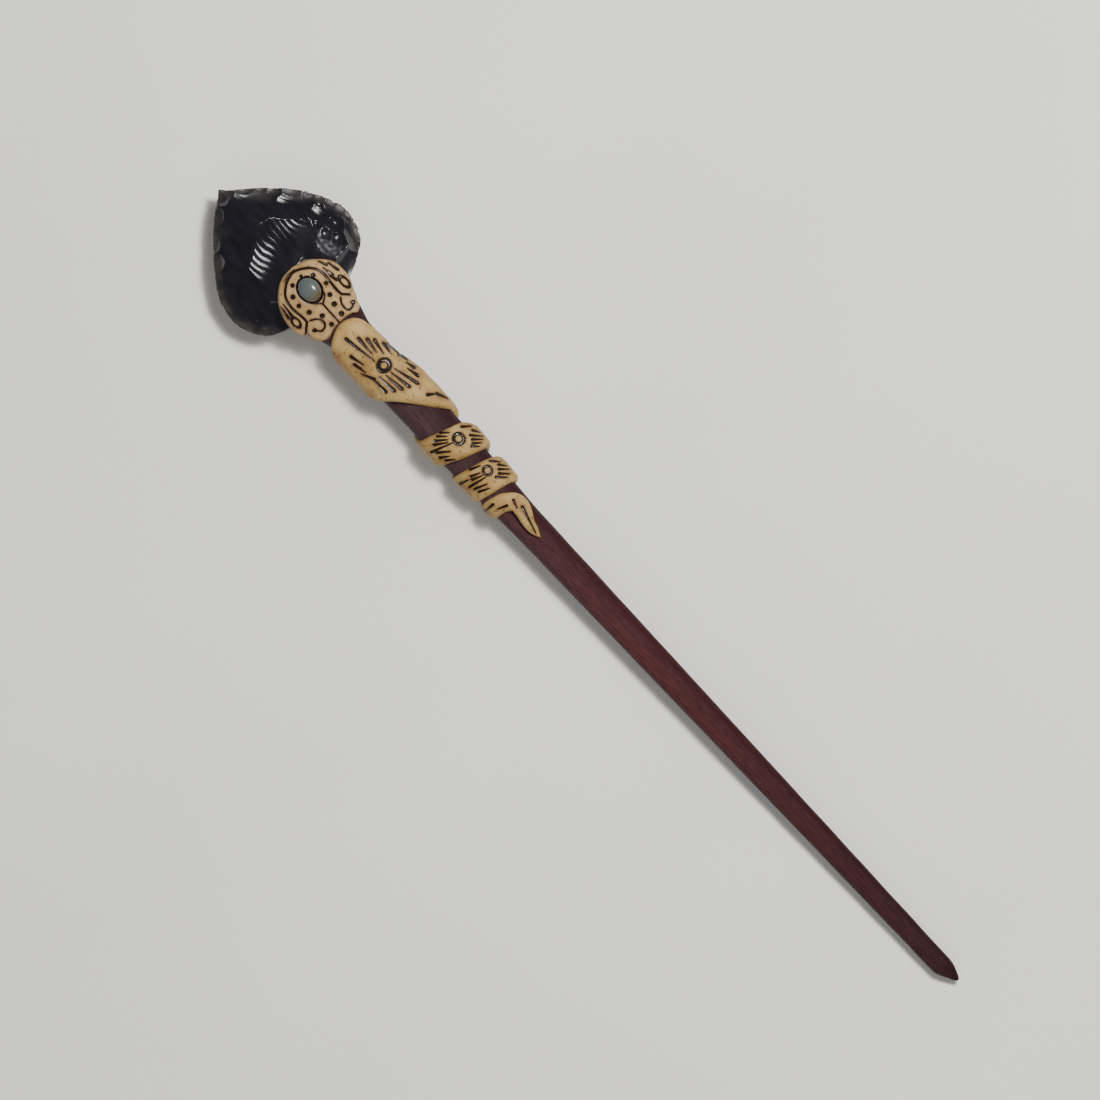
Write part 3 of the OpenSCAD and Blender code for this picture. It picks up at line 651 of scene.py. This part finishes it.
def domed_stone_material():
    material, tree, shader = new_material("domed_stone")
    place = add(tree, "ShaderNodeSeparateXYZ", {"Vector": add(tree, "ShaderNodeTexCoord").outputs["Object"]})
    low = (DOME_X - DOME_L / 2 - MIDDLE_X) * MM
    along = add(tree, "ShaderNodeMapRange",
                {"Value": place.outputs["X"], "From Min": low, "From Max": low + DOME_L * MM})
    cloud = add(tree, "ShaderNodeMath",
                {0: along.outputs["Result"], 1: noise(tree, scale=450, detail=4)}, operation="ADD")
    share = add(tree, "ShaderNodeMath", {0: cloud.outputs[0], 1: 0.66}, operation="MULTIPLY")
    colour = ramp(tree, share.outputs[0], [(0.25, (0.06, 0.073, 0.075)), (0.68, (0.078, 0.086, 0.081)),
                                           (0.87, (0.075, 0.058, 0.028)), (1, (0.04, 0.024, 0.01))])
    tree.links.new(colour, shader.inputs["Base Color"])
    shader.inputs["Roughness"].default_value = 0.16
    shader.inputs["Subsurface Weight"].default_value = 0.25
    shader.inputs["Subsurface Scale"].default_value = 0.0012
    shader.inputs["Coat Weight"].default_value = 0.3
    return material


def floor_material():
    material, tree, shader = new_material("floor")
    tint = ramp(tree, noise(tree, scale=12, detail=2),
                [(0.3, (0.66, 0.645, 0.61)), (0.7, (0.7, 0.685, 0.65))])
    tree.links.new(tint, shader.inputs["Base Color"])
    shader.inputs["Roughness"].default_value = 0.85
    return material


# Pieces

def stone_point():
    rows, columns = 230, 208
    u = np.linspace(0, 1, rows)[:, None]
    even = np.linspace(-1, 1, columns)[None, :]
    x, v = np.broadcast_arrays(STONE_L * u, 0.5 * even + 0.5 * np.sin(pi / 2 * even))
    upper, lower = stone_edges(x)
    # The edge stays a little inside the outline and has small chips, except at the ends
    chips = np.abs(unevenness(x, 3 * v, 2.7)) * np.abs(unevenness(x, 2 * v, 1.3))
    ragged = 0.05 - 0.3 * chips
    room = share_between(upper - lower, 0, 4)
    y = (upper + lower) / 2 + v * ((upper - lower) / 2 - 0.06 * room + ragged * room)
    front = skin(x, y, STONE_UP, FRONT_SCARS + retouch(seed=3))
    back = skin(x, y, STONE_DOWN, BACK_SCARS + retouch(seed=8))
    on_edge = (np.abs(v) >= 1) | (u >= 1) | (u <= 0)
    front = np.where(on_edge, 0, front)
    back = np.where(on_edge, 0, back)
    wander = 0.15 * unevenness(x, y, 9)
    thin = 1 - smooth_step(front + back, 0.2, 2.8)
    spot = 0.7 * np.exp(-((x - DULL_X) / DULL_L) ** 2 - ((y - DULL_Y) / DULL_W) ** 2)
    frost = spot * (0.6 + 0.4 * unevenness(x, y, 1.1))
    front_points = np.stack([x, y, RIM_Z + wander + front], axis=-1)
    back_points = np.stack([x, y, RIM_Z + wander - back], axis=-1)
    faces = [(front_points, {"thin": thin, "frost": frost}),
             (back_points, {"thin": thin, "frost": np.zeros_like(x)})]
    piece("stone_point_visual", faces, obsidian_material(), "stone_point")


def wooden_stick():
    rows, columns = 190, 73
    x, around = np.broadcast_arrays(np.linspace(STICK_X, POINT_X, rows)[:, None],
                                    np.linspace(0, 360, columns)[None, :])
    turn = np.radians(around)
    hand_cut = 0.035 * unevenness(x + 4 * np.sin(turn), 4 * np.cos(turn), 11) - 0.03
    body = on_stick(x, around, hand_cut)
    # The cut point. Columns: share of its length, size, how far aside (shares of TIP_W)
    cuts = [(0.1, 0.95, 0.015), (0.25, 0.86, 0.04), (0.42, 0.73, 0.06), (0.6, 0.55, 0.08),
            (0.76, 0.4, 0.09), (0.88, 0.27, 0.1), (0.95, 0.18, 0.1), (0.99, 0.08, 0.1)]
    rings = [body]
    centre = np.array([0, axis_y(POINT_X), axis_z(POINT_X)])
    for along, size, aside in cuts:
        ring = centre + size * (body[-1] - centre)
        ring[:, 0] = POINT_X + along * (TIP_X - POINT_X)
        ring[:, 1] += aside * TIP_W
        rings.append(ring[None])
    piece("wooden_stick_visual", [(np.concatenate(rings), {})], wood_material(), "wooden_stick")


def medallion(material):
    columns = 420
    shares = curve_at(MEDALLION, np.linspace(0, len(MEDALLION) - 1, columns))
    outline = shares * (MEDALLION_L, MEDALLION_W)
    length = np.hypot(outline[:, 0], outline[:, 1])
    seat = 1 / np.hypot(outline[:, 0] / (DOME_L / 2 + SEAT_ROOM), outline[:, 1] / (DOME_W / 2 + SEAT_ROOM))
    # From the seat's edge to the outline, closer together over the rounded edge
    steps = np.concatenate([np.linspace(0, 0.9, 66), 1 - 0.1 * np.cos(np.linspace(0.1, pi / 2, 14))])
    steps[-1] = 1
    share = seat[None, :] + (1 - seat[None, :]) * steps[:, None]
    x = DOME_X + share * outline[None, :, 0]
    y = share * outline[None, :, 1]
    depth, dark, wash_and_shade = marks(x, y, MEDALLION_LINES, MEDALLION_STROKES, MEDALLION_DOTS, MEDALLION_RINGS,
                               thick=0.33, thin=0.14)
    from_edge = (1 - share) * length[None, :]
    edge_r = MEDALLION_EDGE_R
    rounded = edge_r - np.sqrt(np.maximum(0, edge_r ** 2 - np.maximum(0, edge_r - from_edge) ** 2))
    carried = RIM_Z + carried_height(x, y, 1)
    from_seat = (share - seat[None, :]) * length[None, :]
    collar = 0.1 * np.exp(-((from_seat - 0.45) / 0.3) ** 2)
    top = front_skin(x, y) + collar + CLAY_WAVES * unevenness(x, y, 3.1)
    z = np.maximum(top - rounded, carried + 0.3) - depth
    # Near-black band at the seat's edge: painted shade in the gap round the domed stone.
    dark = np.maximum(dark, 1 - smooth_step(from_seat, 0.12, 0.3))
    # Darker brown near the rounded rim and round the seat: painted shade, added to the brown tint round the
    # marks.
    wash_and_shade = np.maximum(wash_and_shade, 0.5 * np.exp(-(np.minimum(from_edge, from_seat) / 0.45) ** 2))
    # The seat's floor inside, and the wall and tucked-in foot outside
    low = carried[-1] - 0.2
    seat_z = np.full(columns, FRONT_Z - SEAT_DEPTH)
    inner = share[0] * 0.2
    floor = [(DOME_X + inner * outline[:, 0], inner * outline[:, 1], seat_z), (x[0], y[0], seat_z)]
    wall = [(x[-1], y[-1], 0.6 * z[-1] + 0.4 * low), (x[-1], y[-1], low),
            (DOME_X + 0.93 * outline[:, 0], 0.93 * outline[:, 1], low - 0.4)]
    points = np.concatenate([[np.stack(row, axis=-1) for row in floor], np.stack([x, y, z], axis=-1),
                             [np.stack(row, axis=-1) for row in wall]])
    # The seat's floor rows are painted fully dark and brown, as shade under the domed stone.
    ones = np.ones((len(floor), columns))
    zeros = np.zeros((len(wall), columns))
    layers = {"mark_and_gap_shade": np.concatenate([ones, dark, zeros]), "wash_and_shade": np.concatenate([ones, wash_and_shade, zeros])}
    piece("clay_medallion_visual", [(points, layers)], material, "clay_medallion")


def backing(material):
    turn = np.linspace(0, tau, 161)
    square = BACKING_SQUARE
    r = (np.abs(np.cos(turn)) ** square + np.abs(np.sin(turn)) ** square) ** (-1 / square)
    side_x, side_y = r * np.cos(turn) * BACKING_L / 2, r * np.sin(turn) * BACKING_W / 2
    # The underside and its rounded edge. Columns: share of the way out, height
    under = [(0.03, 0), (0.3, 0), (0.55, 0), (0.8, 0), (0.86, 0.03), (0.91, 0.15), (0.95, 0.38),
             (0.98, 0.7), (0.995, 1.1), (1, BACKING_EDGE_Z)]
    rows = [(BACKING_X + share * side_x, share * side_y, np.full(len(turn), height))
            for share, height in under]
    # The side, up to a little inside what it carries
    x, y = BACKING_X + side_x, side_y
    rise = np.maximum(RIM_Z - carried_height(x, y, -1) + 0.2 - BACKING_EDGE_Z, 0)
    for lift in np.linspace(0.1, 1, 14):
        rows.append((x, y, BACKING_EDGE_Z + lift * rise))
    rows.append((BACKING_X + 0.9 * side_x, 0.9 * side_y, rows[-1][2] + 0.2))
    points = np.array([np.stack(row, axis=-1) for row in rows])
    bulge = CLAY_WAVES * unevenness(points[..., 0], points[..., 2] * 2 + points[..., 1], 4)
    points[..., 0] += bulge * (points[..., 0] - BACKING_X) / BACKING_L
    points[..., 1] += bulge * points[..., 1] / BACKING_W
    zero = np.zeros(points.shape[:2])
    layers = {"mark_and_gap_shade": zero, "wash_and_shade": zero}
    piece("clay_backing_visual", [(points, layers)], material, "clay_backing")


def domed_stone():
    rows, columns = 30, 97
    rise, turn = np.broadcast_arrays(np.linspace(0, pi / 2 - 0.02, rows)[:, None],
                                     np.linspace(0, tau, columns)[None, :])
    base = FRONT_Z - SEAT_DEPTH + 0.1
    girdle = 0.45
    height = DOME_TOP - base - girdle
    size = np.cos(rise) ** 0.85
    x = DOME_X + DOME_L / 2 * np.cos(turn) * size
    y = DOME_W / 2 * np.sin(turn) * size
    dome = np.stack([x, y, base + girdle + height * np.sin(rise)], axis=-1)
    foot = dome[:1].copy()
    foot[..., 2] = base
    piece("cabochon_visual", [(np.concatenate([foot, dome]), {})],
          domed_stone_material(), "cabochon")


def strip_rows():
    """The strip's rows, close together where they are seen."""
    last = len(STRIP) - 1
    probe, mean_r = 0.05, 4.5
    places, t = [], 0
    while t < last:
        places.append(t)
        row, after = curve_at(STRIP, np.array([t, min(last, t + probe)]))
        moved = np.hypot((after[1] + after[3] - row[1] - row[3]) / 2 * pi / 180 * mean_r,
                         (after[0] + after[2] - row[0] - row[2]) / 200 * WRAP_L) / probe
        seen = cos(radians((row[1] + row[3]) / 2)) > -0.1
        t += (ROW_STEP if seen else HIDDEN_STEP) / max(moved, 1)
    return curve_at(STRIP, np.array(places + [last]))


def strip_marks(x, y, angle):
    """Depth, darkness and brown tint of the marks, each turn's taken where its angles are."""
    kept = [np.zeros_like(x), np.zeros_like(x), np.zeros_like(x)]
    # Columns: first and last angle, strokes, dots, rings, half width of the strokes
    turns = [(-100, 120, LEAF_STROKES, LEAF_DOTS, LEAF_RINGS, 0.4),
             (280, 460, FIRST_BAND_STROKES, [], FIRST_BAND_RINGS, 0.3),
             (640, 820, SECOND_BAND_STROKES, [], SECOND_BAND_RINGS, 0.3),
             (1000, 1180, TAIL_STROKES, [], [], 0.3)]
    for low, high, strokes, dots, rings, thick in turns:
        found = marks(x, y, [], strokes, dots, rings, thick, thin=0.13)
        here = (angle > low) & (angle < high)
        kept = [np.where(here, new, old) for new, old in zip(found, kept)]
    return kept


def strip(material):
    rows = strip_rows()
    columns = 136
    even = np.linspace(0, 1, columns)
    s = (0.35 * (1 - np.cos(pi * even)) / 2 + 0.65 * even)[None, :]
    near_x, far_x = WRAP_X + rows[:, :1] * WRAP_L / 100, WRAP_X + rows[:, 2:3] * WRAP_L / 100
    near_angle, far_angle = rows[:, 1:2], rows[:, 3:4]
    x = near_x + s * (far_x - near_x)
    angle = near_angle + s * (far_angle - near_angle)
    # The leaf's upper side is pressed thin
    press_near, press_far = (WRAP_X + share * WRAP_L for share in PRESS_FADE)
    pressing = share_between(angle, *PRESS_ANGLES) * (1 - share_between(x, press_near, press_far))
    thick = (BACK_T + (LEAF_T - BACK_T) * rows[:, 4:5] + 0.1) * (1 - PRESS_SHARE * pressing)
    # From 0 at the strip's sides and ends to 1 past its rounded edge
    width = np.hypot(far_x - near_x, (far_angle - near_angle) * pi / 180 * GRIP_W / 2)
    inward = np.minimum(1, np.minimum(s, 1 - s) * width / np.maximum(EDGE_R, EDGE_SHARE * width))
    order = np.arange(len(rows))
    from_end = np.minimum(order, order[::-1])[:, None] * ROW_STEP
    inward = np.minimum(inward, np.maximum(0.05, np.minimum(1, from_end / 0.8)))
    rounded = EDGE_LIFT + (1 - EDGE_LIFT) * np.sqrt(1 - (1 - inward) ** 2)
    height = thick * rounded + CLAY_WAVES * unevenness(x, angle / 14, 4.3) * inward
    depth, dark, wash_and_shade = strip_marks(x, on_stick(x, angle, height)[..., 1], angle)
    top = on_stick(x, angle, height - depth)
    # The underside lies just inside the stick's skin, and has fewer columns
    under_s = s[:, ::-1][:, ::6]
    under_x = near_x + under_s * (far_x - near_x)
    under = on_stick(under_x, near_angle + under_s * (far_angle - near_angle), -0.1)
    points = np.concatenate([top, under, top[:, :1]], axis=1)
    plain = np.zeros(under.shape[:2])
    layers = {name: np.concatenate([field, plain, field[:, :1]], axis=1)
              for name, field in (("mark_and_gap_shade", dark), ("wash_and_shade", wash_and_shade))}
    piece("clay_wrap_visual", [(points, layers)], material, "clay_wrap")


def stage():
    bm = bmesh.new()
    bmesh.ops.create_grid(bm, x_segments=2, y_segments=2, size=FLOOR_HALF_WIDTH)
    mesh = bpy.data.meshes.new("floor")
    bm.to_mesh(mesh)
    bm.free()
    mesh.materials.append(floor_material())
    floor = bpy.data.objects.new("floor", mesh)
    bpy.context.scene.collection.objects.link(floor)


def camera():
    data = bpy.data.cameras.new("camera")
    data.sensor_width = 36
    data.lens = data.sensor_width * CAMERA_DISTANCE / VIEW_WIDTH
    seen = bpy.data.objects.new("camera", data)
    seen.location = (*VIEW_MIDDLE, CAMERA_DISTANCE + RIM_Z * MM)
    seen.rotation_euler = (0, 0, radians(CAMERA_TURN))
    bpy.context.scene.collection.objects.link(seen)
    bpy.context.scene.camera = seen


def light(name, place, target, size, power, mirrored):
    """An area lamp; where mirrored is off, glossy surfaces show no reflection of it."""
    data = bpy.data.lights.new(name, "AREA")
    data.shape = "RECTANGLE"
    data.size, data.size_y = size
    data.energy = power
    lamp = bpy.data.objects.new(name, data)
    lamp.location = place
    lamp.visible_glossy = mirrored
    lamp.rotation_euler = (Vector(target) - Vector(place)).to_track_quat("-Z", "Y").to_euler()
    bpy.context.scene.collection.objects.link(lamp)


def studio():
    world = bpy.data.worlds.new("studio")
    world.use_nodes = True
    world.node_tree.nodes["Background"].inputs["Color"].default_value = (0.96, 0.97, 1, 1)
    world.node_tree.nodes["Background"].inputs["Strength"].default_value = 0.24
    bpy.context.scene.world = world
    # The key lamp lights the object, and the smaller one in its place gives reflections
    light("key", KEY_PLACE, KEY_TARGET, (0.32, 0.26), 5, mirrored=False)
    light("glint", KEY_PLACE, KEY_TARGET, (0.15, 0.1), 6.4, mirrored=True)
    light("fill", FILL_PLACE, (0, 0, 0), (1.6, 1.2), 6, mirrored=False)


camera()
stage()
studio()
clay = pressed_clay()
tan_clay = clay_material("clay_tan", clay, (0.365, 0.24, 0.103), (0.285, 0.172, 0.068), (0.13, 0.055, 0.016))
pale_clay = clay_material("clay_pale", clay, (0.35, 0.228, 0.078), (0.25, 0.138, 0.04), (0.13, 0.058, 0.017))
stone_point()
wooden_stick()
medallion(tan_clay)
backing(tan_clay)
domed_stone()
strip(pale_clay)
